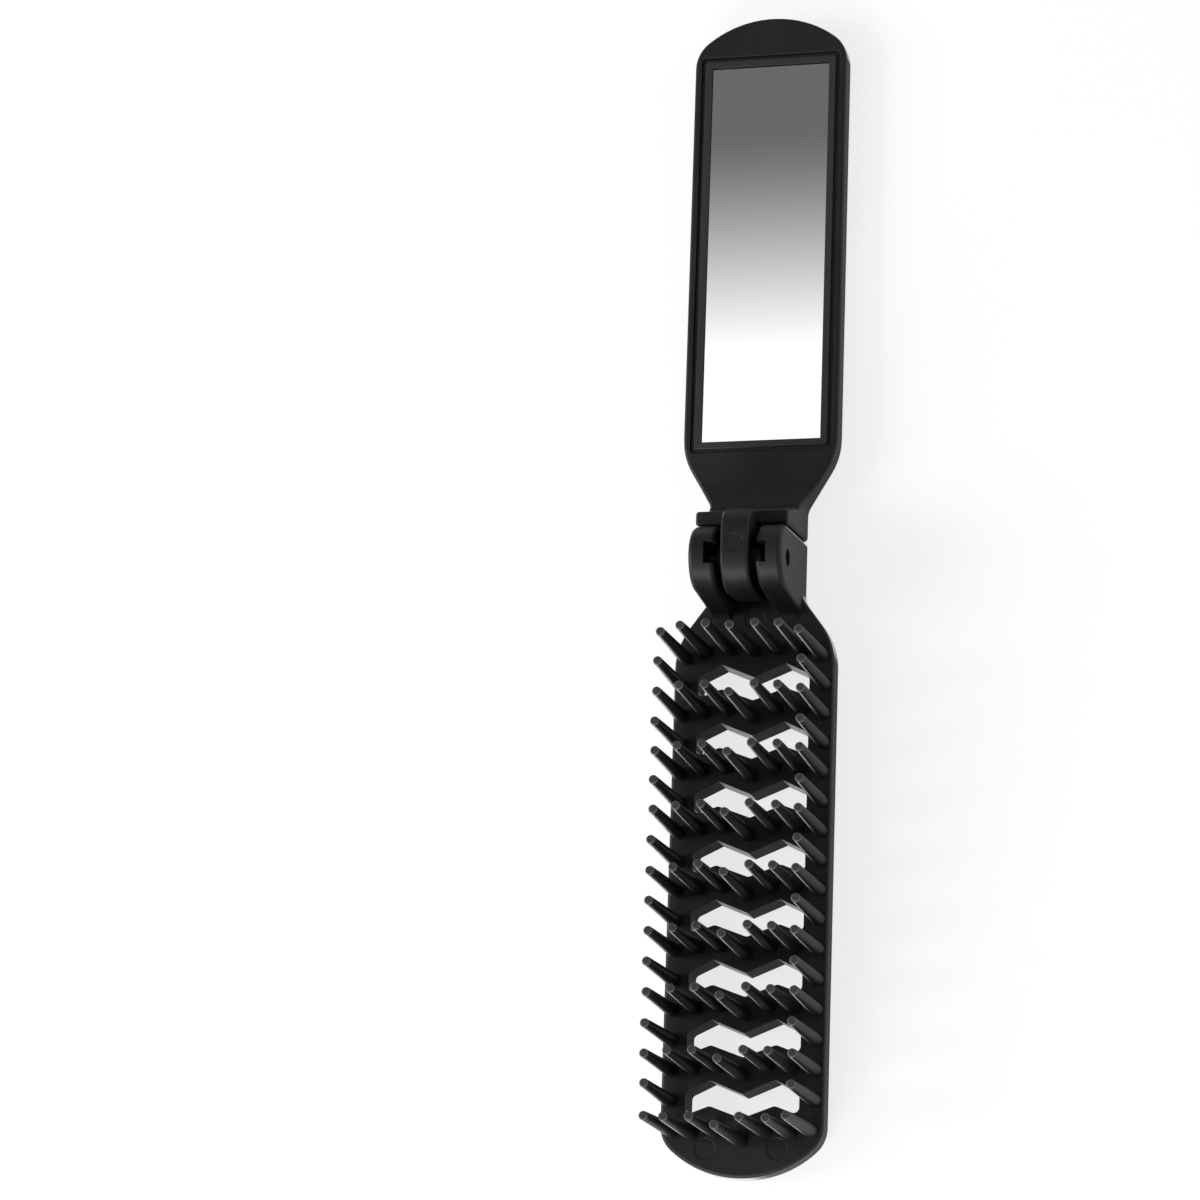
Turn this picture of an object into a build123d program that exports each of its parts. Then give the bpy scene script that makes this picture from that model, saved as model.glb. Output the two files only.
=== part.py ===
"""Folding pocket hairbrush with a mirror, open and lying on its back, in millimetres.

X runs across the brush, Y along it and Z up from the surface it lies on. The origin is below the
hinge axis, which is parallel to X. The brush half reaches to -Y and the mirror half to +Y.
"""

from build123d import *
import os
from math import cos, radians, tan

# ---------------------------------------------------------------- driving dimensions
reach = 101.6  # hinge axis to the tip of each half
slab = 5.4  # thickness of both halves
axis_height = 17.3  # hinge axis above the backs

brush_half_width = 13.75
mirror_inset = 0.25  # the mirror half is this much narrower at each side
neck_half_width = 7.95
back_round = 2.0  # rounding of the back edges
rim_round = 0.6  # rounding of the front edges
brush_neck_end = 3.7  # hinge axis to where the neck widens into the shoulders
brush_shoulder_end = 11.6
mirror_neck_end = 12.3
mirror_shoulder_end = 21.8
neck_blend = 3.5
shoulder_blend = 12.0
brush_crown_radius = 17.8
brush_crown_corner = 5.5
mirror_crown_radius = 18.1
mirror_crown_corner = 6.0

# hinge
ear_gap_half = 3.5  # half the space between the two ears
lobe_radius = 5.6  # round top of the ears, about the hinge axis
stop_tilt = 4.5  # lean of the faces that stop the brush from opening further, degrees
flank_tilt = 4.0  # lean of the ears' other side, degrees
ear_root_blend = 1.6
ear_inner_round = 0.8
corner_round = 0.9  # outer edges of the ears and of the stop face
stop_gap = 0.3  # between the stop faces of the two halves
slot_depth = 1.8  # lead-in slots for the bosses, in the inner faces of the ears
boss_radius = 1.85
boss_reach = 0.5  # how far each boss enters its slot
boss_running_gap = 0.07
boss_chamfer = 0.3
knuckle_half_width = 2.35
knuckle_radius = 5.9
knuckle_floor_gap = 0.8  # under the knuckle, above the floor between the ears
knuckle_heel_round = 4.3
knuckle_tilt = 5.0  # the knuckle's free side draws in towards the floor, degrees
knuckle_shoulder_round = 4.8  # between the knuckle's front and the flange
knuckle_edge_round = 0.45
flange_top = 17.9
flange_lip = 8.3  # hinge axis to where the scoop starts
scoop_slope = 74.0  # degrees
scoop_blend = 8.0
pin_radius = 1.1
pin_running_gap = 0.05
pin_seat_gap = 0.02
pin_recess = 1.3  # depth of the counterbore over each pin end
pin_chamfer = 0.2
counterbore_radius = 1.5

# bristles
row_count = 9
first_row = 13.9  # hinge axis to the first row
last_row_margin = 7.7  # last row to the tip
inner_pitch_growth = 0.07  # inside the rails the rows stand a little wider apart
bristle_height = 18.85  # above the slab
bristle_root_radius = 1.16
bristle_tip_radius = 0.76
bristle_tip_round = 0.28
peg_radius = 0.9
peg_depth = 2.6
peg_gap = 0.02
edge_column_margin = 1.61  # edge bristles to the sides
column_outer = 8.3
column_inner = 4.15
outer_lead = 0.85  # the inner bristles of a row stand this much nearer to the hinge
inner_lead = 1.1
centre_lead = -0.3
first_centre_lead = 0.8
end_row_inset = 0.45  # the first and last rows' edge bristles stand further in
first_row_lead = 0.25  # the end rows' inner bristles follow the frame's ends
last_row_lag = 0.7

# windows between the rows
rail_width = 4.15  # beside the windows
window_peak_offset = 5.5
window_top_peak = 3.9
window_top_valley = 1.6
window_top_end = 1.9
window_bottom_peak = 0.35
window_bottom_valley = 2.4
window_bottom_end = 1.9
window_corner = 0.9
window_peak_round = 1.0
window_valley_round = 0.6

# mirror
glass_side_margin = 3.15  # glass to the sides
glass_start = 24.4
glass_margin = 8.85  # glass to the tip
glass_thickness = 1.8
glass_recess = 0.5  # below the bezel's front
glass_gap = 0.05
tape_thickness = 0.6
tape_margin = 1.2
bezel_wall = 1.2
bezel_foot = 2.5  # height of the bezel's foot, under the channel
channel_width = 0.7  # groove round the bezel
seat_gap = 0.05
pocket_corner = 0.8
bezel_corner = 0.5
bezel_round = 0.15

# ejector marks
mark_depth = 0.12
end_mark_radius = 1.78
end_mark_offset = 6.05
end_mark_margin = 4.8  # to the tip
floor_mark_reach = 7.25
knuckle_mark_radius = 1.62
knuckle_mark_shift = 1.2

# ---------------------------------------------------------------- derived sizes
mirror_half_width = brush_half_width - mirror_inset
column_edge = brush_half_width - edge_column_margin
window_half_width = brush_half_width - rail_width
glass_half_width = mirror_half_width - glass_side_margin
knuckle_top = axis_height + knuckle_radius
knuckle_bottom = slab + knuckle_floor_gap
boss_end = ear_gap_half + boss_reach
slot_half_width = boss_radius + boss_running_gap
pin_end = neck_half_width - pin_recess
pin_bore = pin_radius + pin_running_gap
stop_radius = lobe_radius + stop_gap
bristle_tip = slab + bristle_height
edge_pitch = (reach - last_row_margin - first_row) / (row_count - 1)
inner_pitch = edge_pitch + inner_pitch_growth
window_lag = edge_pitch / 2  # each window lies half a pitch behind a row
opening_half_width = glass_half_width + glass_gap
glass_length = reach - glass_margin - glass_start
opening_length = glass_length + 2 * glass_gap
glass_middle = glass_start + glass_length / 2
glass_top = slab - glass_recess
glass_bottom = glass_top - glass_thickness
pocket_floor = glass_bottom - tape_thickness
band_grow = 2 * bezel_wall
pocket_grow = 2 * (bezel_wall + channel_width)
brush_plane = Plane(origin=(0, 0, 0), x_dir=(-1, 0, 0), z_dir=(0, 0, 1))


def leaning_y(radius, tilt, height):
    """Distance from the hinge axis, at a height, of a line that leans and passes at a radius."""
    lean = radians(tilt)
    return radius / cos(lean) + (axis_height - height) * tan(lean)


def round_corners(sketch, *corners):
    """Round corners of the sketch being built, each given as its place and its radius."""
    for place, radius in corners:
        near = [v for v in sketch.vertices() if (v.X - place[0]) ** 2 + (v.Y - place[1]) ** 2 < 1e-4]
        fillet(near, radius)


def half_outline(half_width, neck_end, shoulder_end, crown_radius, crown_corner, start):
    """Plan outline of one half, drawn away from the hinge along local Y."""
    crown_level = reach - crown_radius + (crown_radius**2 - half_width**2) ** 0.5
    right_side = [
        (neck_half_width, start),
        (neck_half_width, neck_end),
        (half_width, shoulder_end),
        (half_width, crown_level),
    ]
    left_side = [(-x, y) for x, y in reversed(right_side)]
    with BuildSketch() as outline:
        with BuildLine():
            Polyline(*right_side)
            ThreePointArc(right_side[-1], (0, reach), left_side[0])
            Polyline(*left_side, right_side[0])
        make_face()
        for side in (1, -1):
            round_corners(
                outline,
                ((side * half_width, crown_level), crown_corner),
                ((side * half_width, shoulder_end), shoulder_blend),
                ((side * neck_half_width, neck_end), neck_blend),
            )
    return outline.sketch


def flat_at(edge, height):
    """Whether an edge lies wholly at one height."""
    box = edge.bounding_box()
    return abs(box.min.Z - height) < 0.01 and abs(box.max.Z - height) < 0.01


def row_y(index, pitch, lead=0.0):
    """Y of the pins of a row, which may stand a little nearer to the hinge than the row does."""
    return lead - first_row - index * pitch


def row_points(index):
    """Feet of one row's seven bristles; the first and last rows follow the frame's ends."""
    is_first, is_last = index == 0, index == row_count - 1
    shift = first_row_lead * is_first - last_row_lag * is_last
    middle_lead = first_centre_lead if is_first else centre_lead
    edge_x = column_edge - end_row_inset * (is_first or is_last)
    points = [(0.0, row_y(index, inner_pitch, middle_lead + shift))]
    for x, y in (
        (column_inner, row_y(index, inner_pitch, inner_lead + shift)),
        (column_outer, row_y(index, inner_pitch, outer_lead + shift)),
        (edge_x, row_y(index, edge_pitch)),
    ):
        points += [(x, y), (-x, y)]
    return points


def pair_points(index):
    """Feet of the two edge bristles between one row and the next."""
    y = row_y(index + 0.5, edge_pitch)
    return [(column_edge, y), (-column_edge, y)]


def window_outline():
    """One window between two rows, with both long sides peaking beside the middle bristle."""
    top = [
        (window_half_width, window_top_end),
        (window_peak_offset, window_top_peak),
        (0, window_top_valley),
    ]
    bottom = [
        (0, -window_bottom_valley),
        (window_peak_offset, -window_bottom_peak),
        (window_half_width, -window_bottom_end),
    ]
    right = bottom + top
    left = [(-x, y) for x, y in reversed(right) if x > 0]
    with BuildSketch() as window:
        with BuildLine():
            Polyline(*right, *left, close=True)
        make_face()
        sides = [v for v in window.vertices() if abs(abs(v.X) - window_half_width) < 0.01]
        fillet(sides, window_corner)
        round_corners(
            window,
            ((window_peak_offset, -window_bottom_peak), window_peak_round),
            ((-window_peak_offset, -window_bottom_peak), window_peak_round),
            ((0, -window_bottom_valley), window_valley_round),
        )
    return window.sketch


row_feet = [row_points(index) for index in range(row_count)]
pair_feet = [pair_points(index) for index in range(row_count - 1)]
all_feet = [point for feet in row_feet + pair_feet for point in feet]

# ---------------------------------------------------------------- bristles
with BuildPart() as bristle:
    with BuildSketch(Plane.XZ):
        with BuildLine():
            Polyline(
                (0, slab - peg_depth),
                (peg_radius, slab - peg_depth),
                (peg_radius, slab),
                (bristle_root_radius, slab),
                (bristle_tip_radius, bristle_tip),
                (0, bristle_tip),
                close=True,
            )
        make_face()
    revolve(axis=Axis.Z)
    fillet(bristle.edges().sort_by(Axis.Z)[-1], bristle_tip_round)

groups = [(f"bristle_row_{i + 1}", feet) for i, feet in enumerate(row_feet)]
groups += [(f"bristle_pair_{i + 1}", feet) for i, feet in enumerate(pair_feet)]
bristle_groups = []
for group_name, feet in groups:
    with BuildPart() as bristle_group:
        with Locations(*feet):
            add(bristle.part)
    bristle_group.part.label = group_name
    bristle_groups.append(bristle_group.part)

# ---------------------------------------------------------------- brush frame
plate_start = leaning_y(lobe_radius, stop_tilt, 0)
plate_outline = half_outline(
    brush_half_width,
    brush_neck_end,
    brush_shoulder_end,
    brush_crown_radius,
    brush_crown_corner,
    -plate_start - back_round,
)
with BuildPart() as brush_plate:
    with BuildSketch(brush_plane):
        add(plate_outline)
    extrude(amount=slab)
    for level, edge_round in ((0, back_round), (slab, rim_round)):
        rim = [e for e in brush_plate.edges() if flat_at(e, level) and e.center().Y < plate_start]
        fillet(rim, edge_round)

with BuildPart() as ear:
    ear_foot = slab / 2
    with BuildSketch(Plane.YZ.offset(ear_gap_half)):
        with BuildLine():
            lobe = CenterArc(
                (0, axis_height), lobe_radius, stop_tilt, 180 - stop_tilt - flank_tilt
            )
            Polyline(
                lobe @ 1,
                (-leaning_y(lobe_radius, flank_tilt, ear_foot), ear_foot),
                (leaning_y(lobe_radius, stop_tilt, ear_foot), ear_foot),
                lobe @ 0,
            )
        make_face()
    extrude(amount=neck_half_width - ear_gap_half)
    inner_edges = ear.faces().sort_by(Axis.X)[0].edges()
    fillet([e for e in inner_edges if e.center().Z > slab], ear_inner_round)

with BuildPart() as brush_blank:
    add(brush_plate.part)
    add(ear.part)
    mirror(ear.part, about=Plane.YZ)
    # the stop face runs across both ears and the floor between them
    with BuildSketch(Plane.YZ):
        with BuildLine():
            Polyline(
                (leaning_y(lobe_radius, stop_tilt, 0), 0),
                (leaning_y(lobe_radius, stop_tilt, slab), slab),
                (plate_start + 2 * back_round, slab),
                (plate_start + 2 * back_round, 0),
                close=True,
            )
        make_face()
    extrude(amount=brush_half_width, both=True, mode=Mode.SUBTRACT)
    # outer edges of the ears, which run on round the stop face
    ear_sides = [
        e for e in brush_blank.edges()
        if abs(abs(e.center().X) - neck_half_width) < 0.01
        and e.bounding_box().max.Z > slab + corner_round
    ]
    fillet(ear_sides, corner_round)

with BuildPart() as brush_frame:
    add(brush_blank.part)
    # concave roots of the ears, on the side away from the stop face
    for side in (1, -1):
        with BuildSketch(Plane.YZ.offset(side * (ear_gap_half + ear_inner_round))) as root_profile:
            root = (-leaning_y(lobe_radius, flank_tilt, slab), slab)
            with BuildLine():
                Polyline(
                    (-leaning_y(lobe_radius, flank_tilt, axis_height), axis_height),
                    root,
                    (root[0] - 2 * ear_root_blend, slab),
                    (root[0] - 2 * ear_root_blend, ear_foot),
                    (0, ear_foot),
                    (0, axis_height),
                    close=True,
                )
            make_face()
            round_corners(root_profile, (root, ear_root_blend))
        extrude(amount=side * (neck_half_width - corner_round - ear_gap_half - ear_inner_round))
    # slots for the bosses, open at the front, then the bore and counterbores of the hinge pin
    for side in (1, -1):
        with BuildSketch(Plane.YZ.offset(side * ear_gap_half)):
            with Locations((0, axis_height)):
                Circle(slot_half_width)
                Rectangle(2 * slot_half_width, 2 * lobe_radius, align=(Align.CENTER, Align.MIN))
        extrude(amount=side * slot_depth, mode=Mode.SUBTRACT)
        with BuildSketch(Plane.YZ.offset(side * neck_half_width)):
            with Locations((0, axis_height)):
                Circle(counterbore_radius)
        extrude(amount=-side * pin_recess, mode=Mode.SUBTRACT)
    with BuildSketch(Plane.YZ):
        with Locations((0, axis_height)):
            Circle(pin_radius + pin_seat_gap)
    extrude(amount=neck_half_width, both=True, mode=Mode.SUBTRACT)
    # windows
    with BuildSketch():
        with Locations(*[(0, row_y(i, inner_pitch) - window_lag) for i in range(row_count - 1)]):
            add(window_outline())
    extrude(amount=slab, mode=Mode.SUBTRACT)
    # sockets of the bristles
    with BuildSketch(Plane.XY.offset(slab)):
        with Locations(*all_feet):
            Circle(peg_radius + peg_gap)
    extrude(amount=-peg_depth - peg_gap, mode=Mode.SUBTRACT)
    # ejector marks, two at the tip and one between the ears
    with BuildSketch(Plane.XY.offset(slab)):
        with Locations(
            (end_mark_offset, end_mark_margin - reach),
            (-end_mark_offset, end_mark_margin - reach),
            (0, -floor_mark_reach),
        ):
            Circle(end_mark_radius)
    extrude(amount=-mark_depth, mode=Mode.SUBTRACT)
brush_frame.part.label = "brush_frame"

# ---------------------------------------------------------------- hinge pin
with BuildPart() as hinge_pin:
    with BuildSketch(Plane.YZ):
        with Locations((0, axis_height)):
            Circle(pin_radius)
    extrude(amount=pin_end, both=True)
    chamfer(hinge_pin.edges().filter_by(GeomType.CIRCLE), pin_chamfer)
hinge_pin.part.label = "hinge_pin"

# ---------------------------------------------------------------- mirror shell
with BuildPart() as knuckle:
    with BuildSketch(Plane.YZ) as knuckle_profile:
        heel = (-leaning_y(knuckle_radius, -knuckle_tilt, knuckle_bottom), knuckle_bottom)
        nose = (-leaning_y(knuckle_radius, -knuckle_tilt, knuckle_top), knuckle_top)
        shoulder = (flange_lip, knuckle_top)
        with BuildLine():
            Polyline(heel, (flange_lip, knuckle_bottom), shoulder, nose, close=True)
        make_face()
        round_corners(
            knuckle_profile,
            (heel, knuckle_heel_round),
            (nose, knuckle_radius),
            (shoulder, knuckle_shoulder_round),
        )
    extrude(amount=knuckle_half_width, both=True)
    knuckle_sides = knuckle.faces().filter_by(Axis.X)
    free_edges = [e for e in knuckle_sides.edges() if e.center().Y < flange_lip - 0.01]
    fillet(free_edges, knuckle_edge_round)

with BuildPart() as mirror_blank:
    # the thickness along the half: stop face, flange, scoop and slab
    scoop_drop = (flange_top - slab) / tan(radians(scoop_slope))
    with BuildSketch(Plane.YZ) as shell_profile:
        scoop_foot = (flange_lip + scoop_drop, slab)
        with BuildLine():
            Polyline(
                (leaning_y(stop_radius, stop_tilt, 0), 0),
                (leaning_y(stop_radius, stop_tilt, flange_top), flange_top),
                (flange_lip, flange_top),
                scoop_foot,
                (reach, slab),
                (reach, 0),
                close=True,
            )
        make_face()
        round_corners(shell_profile, (scoop_foot, scoop_blend))
    extrude(amount=mirror_half_width, both=True)
    with BuildSketch():
        add(
            half_outline(
                mirror_half_width,
                mirror_neck_end,
                mirror_shoulder_end,
                mirror_crown_radius,
                mirror_crown_corner,
                0,
            )
        )
    extrude(amount=flange_top, mode=Mode.INTERSECT)
    far_edges = [e for e in mirror_blank.edges() if e.center().Y > flange_lip]
    fillet([e for e in far_edges if flat_at(e, 0)], back_round)
    # the front edges run on in one chain up the scoop, and those of the stop face round its back
    stop_foot = leaning_y(stop_radius, stop_tilt, 0)
    front_edges = [
        e for e in mirror_blank.edges()
        if flat_at(e, flange_top)
        or (flat_at(e, slab) and e.center().Y > mirror_shoulder_end)
        or e.bounding_box().max.Y < stop_foot - 0.01
    ]
    fillet(front_edges, rim_round)

with BuildPart() as mirror_shell:
    add(mirror_blank.part)
    add(knuckle.part)
    # bosses that turn in the slots of the ears, and the bore for the hinge pin
    with BuildSketch(Plane.YZ):
        with Locations((0, axis_height)):
            Circle(boss_radius)
    extrude(amount=boss_end, both=True)
    boss_tips = [e for e in mirror_shell.edges() if abs(abs(e.center().X) - boss_end) < 0.01]
    chamfer(boss_tips, boss_chamfer)
    with BuildSketch(Plane.YZ):
        with Locations((0, axis_height)):
            Circle(pin_bore)
    extrude(amount=boss_end, both=True, mode=Mode.SUBTRACT)
    # pocket for the bezel, with the glass and its tape inside
    with BuildSketch(Plane.XY.offset(slab)):
        with Locations((0, glass_middle)):
            RectangleRounded(
                2 * opening_half_width + pocket_grow, opening_length + pocket_grow, pocket_corner
            )
    extrude(amount=pocket_floor - slab, mode=Mode.SUBTRACT)
    # ejector mark on the knuckle
    with BuildSketch(Plane.XY.offset(knuckle_top)):
        with Locations((0, knuckle_mark_shift)):
            Circle(knuckle_mark_radius)
    extrude(amount=-mark_depth, mode=Mode.SUBTRACT)
mirror_shell.part.label = "mirror_shell"

# ---------------------------------------------------------------- mirror insert
band_width = 2 * opening_half_width + band_grow
band_length = opening_length + band_grow
with BuildPart() as mirror_bezel:
    # the foot fills the pocket's floor outside the glass
    with BuildSketch(Plane.XY.offset(pocket_floor)):
        with Locations((0, glass_middle)):
            RectangleRounded(
                2 * opening_half_width + pocket_grow - 2 * seat_gap,
                opening_length + pocket_grow - 2 * seat_gap,
                pocket_corner,
            )
    extrude(amount=bezel_foot)
    # the band stands round the glass, inside the channel
    with BuildSketch(Plane.XY.offset(pocket_floor)):
        with Locations((0, glass_middle)):
            RectangleRounded(band_width, band_length, bezel_corner)
    extrude(amount=slab - pocket_floor)
    fillet([e for e in mirror_bezel.edges() if flat_at(e, slab)], bezel_round)
    with BuildSketch(Plane.XY.offset(pocket_floor)):
        with Locations((0, glass_middle)):
            Rectangle(2 * opening_half_width, opening_length)
    extrude(amount=slab - pocket_floor, mode=Mode.SUBTRACT)
mirror_bezel.part.label = "mirror_bezel"

with BuildPart() as mirror_glass:
    with BuildSketch(Plane.XY.offset(glass_bottom)):
        with Locations((0, glass_middle)):
            Rectangle(2 * glass_half_width, glass_length)
    extrude(amount=glass_thickness)
mirror_glass.part.label = "mirror_glass"

with BuildPart() as mirror_tape:
    with BuildSketch(Plane.XY.offset(pocket_floor)):
        with Locations((0, glass_middle)):
            Rectangle(2 * (glass_half_width - tape_margin), glass_length - 2 * tape_margin)
    extrude(amount=tape_thickness)
mirror_tape.part.label = "mirror_tape"

# ---------------------------------------------------------------- output
os.makedirs("parts", exist_ok=True)
pieces = [piece.part for piece in (brush_frame, hinge_pin, mirror_shell, mirror_bezel)]
pieces += [mirror_glass.part, mirror_tape.part, *bristle_groups]
for piece in pieces:
    export_step(piece, f"parts/{piece.label}.step")
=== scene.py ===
"""Looks of a folding pocket hairbrush with a mirror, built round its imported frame.

The brush lies open on its back. X runs across it, Y along it and Z up from the floor, and the hinge
axis is parallel to X. Lengths are in metres, and values in millimetres are written as n * MM.
"""

import logging
import math
import random
from dataclasses import dataclass
from enum import Enum
from typing import Iterable, Optional, Union

import bmesh
import bpy
from mathutils import Euler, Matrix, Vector


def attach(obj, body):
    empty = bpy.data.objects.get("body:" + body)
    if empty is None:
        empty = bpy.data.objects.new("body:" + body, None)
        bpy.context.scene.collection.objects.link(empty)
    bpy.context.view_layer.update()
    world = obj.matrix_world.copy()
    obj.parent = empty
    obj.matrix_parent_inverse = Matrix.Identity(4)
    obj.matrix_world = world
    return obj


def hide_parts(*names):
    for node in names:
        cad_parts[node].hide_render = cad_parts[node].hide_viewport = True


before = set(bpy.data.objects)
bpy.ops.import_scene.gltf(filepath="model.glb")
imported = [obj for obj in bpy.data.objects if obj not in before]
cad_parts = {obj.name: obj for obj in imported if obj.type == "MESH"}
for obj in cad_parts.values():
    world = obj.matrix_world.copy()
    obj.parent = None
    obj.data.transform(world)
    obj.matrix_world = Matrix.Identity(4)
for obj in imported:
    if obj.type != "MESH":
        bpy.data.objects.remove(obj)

log = logging.getLogger("hairbrush")
MM = 0.001


class Body(Enum):
    """The two halves that the hinge joins."""

    BRUSH = "brush_half"
    MIRROR = "mirror_half"


class Slot(Enum):
    """Material slots of the record."""

    SHELL = "shell_plastic"
    BEZEL = "bezel_plastic"
    BRISTLE = "bristle_plastic"
    PIN = "pin_steel"
    GLASS = "mirror_glass"
    TAPE = "foam_tape"


# ---------------------------------------------------------------- node sheets


class Expr:
    """A node socket that reads as a number in a formula and adds Math nodes as it goes."""

    def __init__(self, sheet: "NodeSheet", socket: bpy.types.NodeSocket) -> None:
        """Wrap a socket of a sheet."""
        self.sheet = sheet
        self.socket = socket

    def __add__(self, other: "Value") -> "Expr":
        """Sum."""
        return self.sheet.math("ADD", self, other)

    def __radd__(self, other: "Value") -> "Expr":
        """Sum, with the number first."""
        return self.sheet.math("ADD", other, self)

    def __sub__(self, other: "Value") -> "Expr":
        """Difference."""
        return self.sheet.math("SUBTRACT", self, other)

    def __rsub__(self, other: "Value") -> "Expr":
        """Difference, with the number first."""
        return self.sheet.math("SUBTRACT", other, self)

    def __mul__(self, other: "Value") -> "Expr":
        """Product."""
        return self.sheet.math("MULTIPLY", self, other)

    def __rmul__(self, other: "Value") -> "Expr":
        """Product, with the number first."""
        return self.sheet.math("MULTIPLY", other, self)

    def __truediv__(self, other: "Value") -> "Expr":
        """Quotient."""
        return self.sheet.math("DIVIDE", self, other)

    def __pow__(self, other: "Value") -> "Expr":
        """Power."""
        return self.sheet.math("POWER", self, other)

    def __gt__(self, other: "Value") -> "Expr":
        """1 where this is the larger, else 0."""
        return self.sheet.math("GREATER_THAN", self, other)

    def rise(self, low: float, high: float) -> "Expr":
        """Smooth step from 0 at low to 1 at high."""
        ends = {"Value": self, "From Min": low, "From Max": high}
        return self.sheet.number("ShaderNodeMapRange", {"interpolation_type": "SMOOTHSTEP"}, ends)


Value = Union[Expr, bpy.types.NodeSocket, bpy.types.Material, float, int, bool, tuple, str]
Colour = tuple[float, float, float, float]


class NodeSheet:
    """Adds nodes to one tree, each from its type, its settings and its sockets."""

    def __init__(self, tree: bpy.types.NodeTree) -> None:
        """Start on a tree, whose nodes stay."""
        self.tree = tree

    def node(
        self,
        kind: str,
        settings: Optional[dict] = None,
        sockets: Optional[dict] = None,
    ) -> bpy.types.Node:
        """Add a node.

        Args:
            kind: Blender's name of the node type.
            settings: the node's properties, set before its sockets.
            sockets: values or links by the socket's name or number.

        Returns:
            The new node.
        """
        made = self.tree.nodes.new(kind)
        for key, value in (settings or {}).items():
            setattr(made, key, value)
        for key, value in (sockets or {}).items():
            self.feed(made.inputs[key], value)
        return made

    def feed(self, socket: bpy.types.NodeSocket, value: Value) -> None:
        """Link a socket, or set it where the value is plain.

        Args:
            socket: an input.
            value: what it takes.
        """
        if isinstance(value, Expr):
            value = value.socket
        if isinstance(value, bpy.types.NodeSocket):
            self.tree.links.new(value, socket)
        else:
            socket.default_value = value

    def number(
        self,
        kind: str,
        settings: Optional[dict] = None,
        sockets: Optional[dict] = None,
        output: Union[int, str] = 0,
    ) -> Expr:
        """Add a node in the same way and read one of its outputs as a number."""
        return Expr(self, self.node(kind, settings, sockets).outputs[output])

    def math(self, operation: str, *values: Value) -> Expr:
        """Add one Math node on its operands."""
        return self.number("ShaderNodeMath", {"operation": operation}, dict(enumerate(values)))

    def place(self) -> bpy.types.NodeSocket:
        """Object coordinates."""
        return self.node("ShaderNodeTexCoord").outputs["Object"]

    def noise(self, place: Value, size: float, detail: float = 2.0) -> Expr:
        """Noise from 0 to 1 about 0.5, with features of a size."""
        sockets = {"Vector": place, "Scale": 1 / size, "Detail": detail}
        return self.number("ShaderNodeTexNoise", {"noise_dimensions": "3D"}, sockets)

    def mix(self, factor: Value, first: Value, second: Value) -> bpy.types.NodeSocket:
        """Mix two colours by a factor."""
        sockets = {0: factor, 6: first, 7: second}
        return self.node("ShaderNodeMix", {"data_type": "RGBA"}, sockets).outputs[2]


def grey(level: float) -> Colour:
    """A neutral colour."""
    return (level, level, level, 1.0)


def emptied(owner: Union[bpy.types.Material, bpy.types.World]) -> NodeSheet:
    """Empty the nodes of a material or a world.

    Args:
        owner: the material or the world.

    Returns:
        The sheet of its nodes.
    """
    owner.use_nodes = True
    owner.node_tree.nodes.clear()
    return NodeSheet(owner.node_tree)


def new_material(name: str) -> tuple[bpy.types.Material, NodeSheet, bpy.types.Node]:
    """Start a material.

    Args:
        name: the material's name.

    Returns:
        The material, its sheet and its surface shader.
    """
    material = bpy.data.materials.new(name)
    sheet = emptied(material)
    shader = sheet.node("ShaderNodeBsdfPrincipled")
    sheet.node("ShaderNodeOutputMaterial", None, {"Surface": shader.outputs[0]})
    return material, sheet, shader


# ---------------------------------------------------------------- finishes


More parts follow.
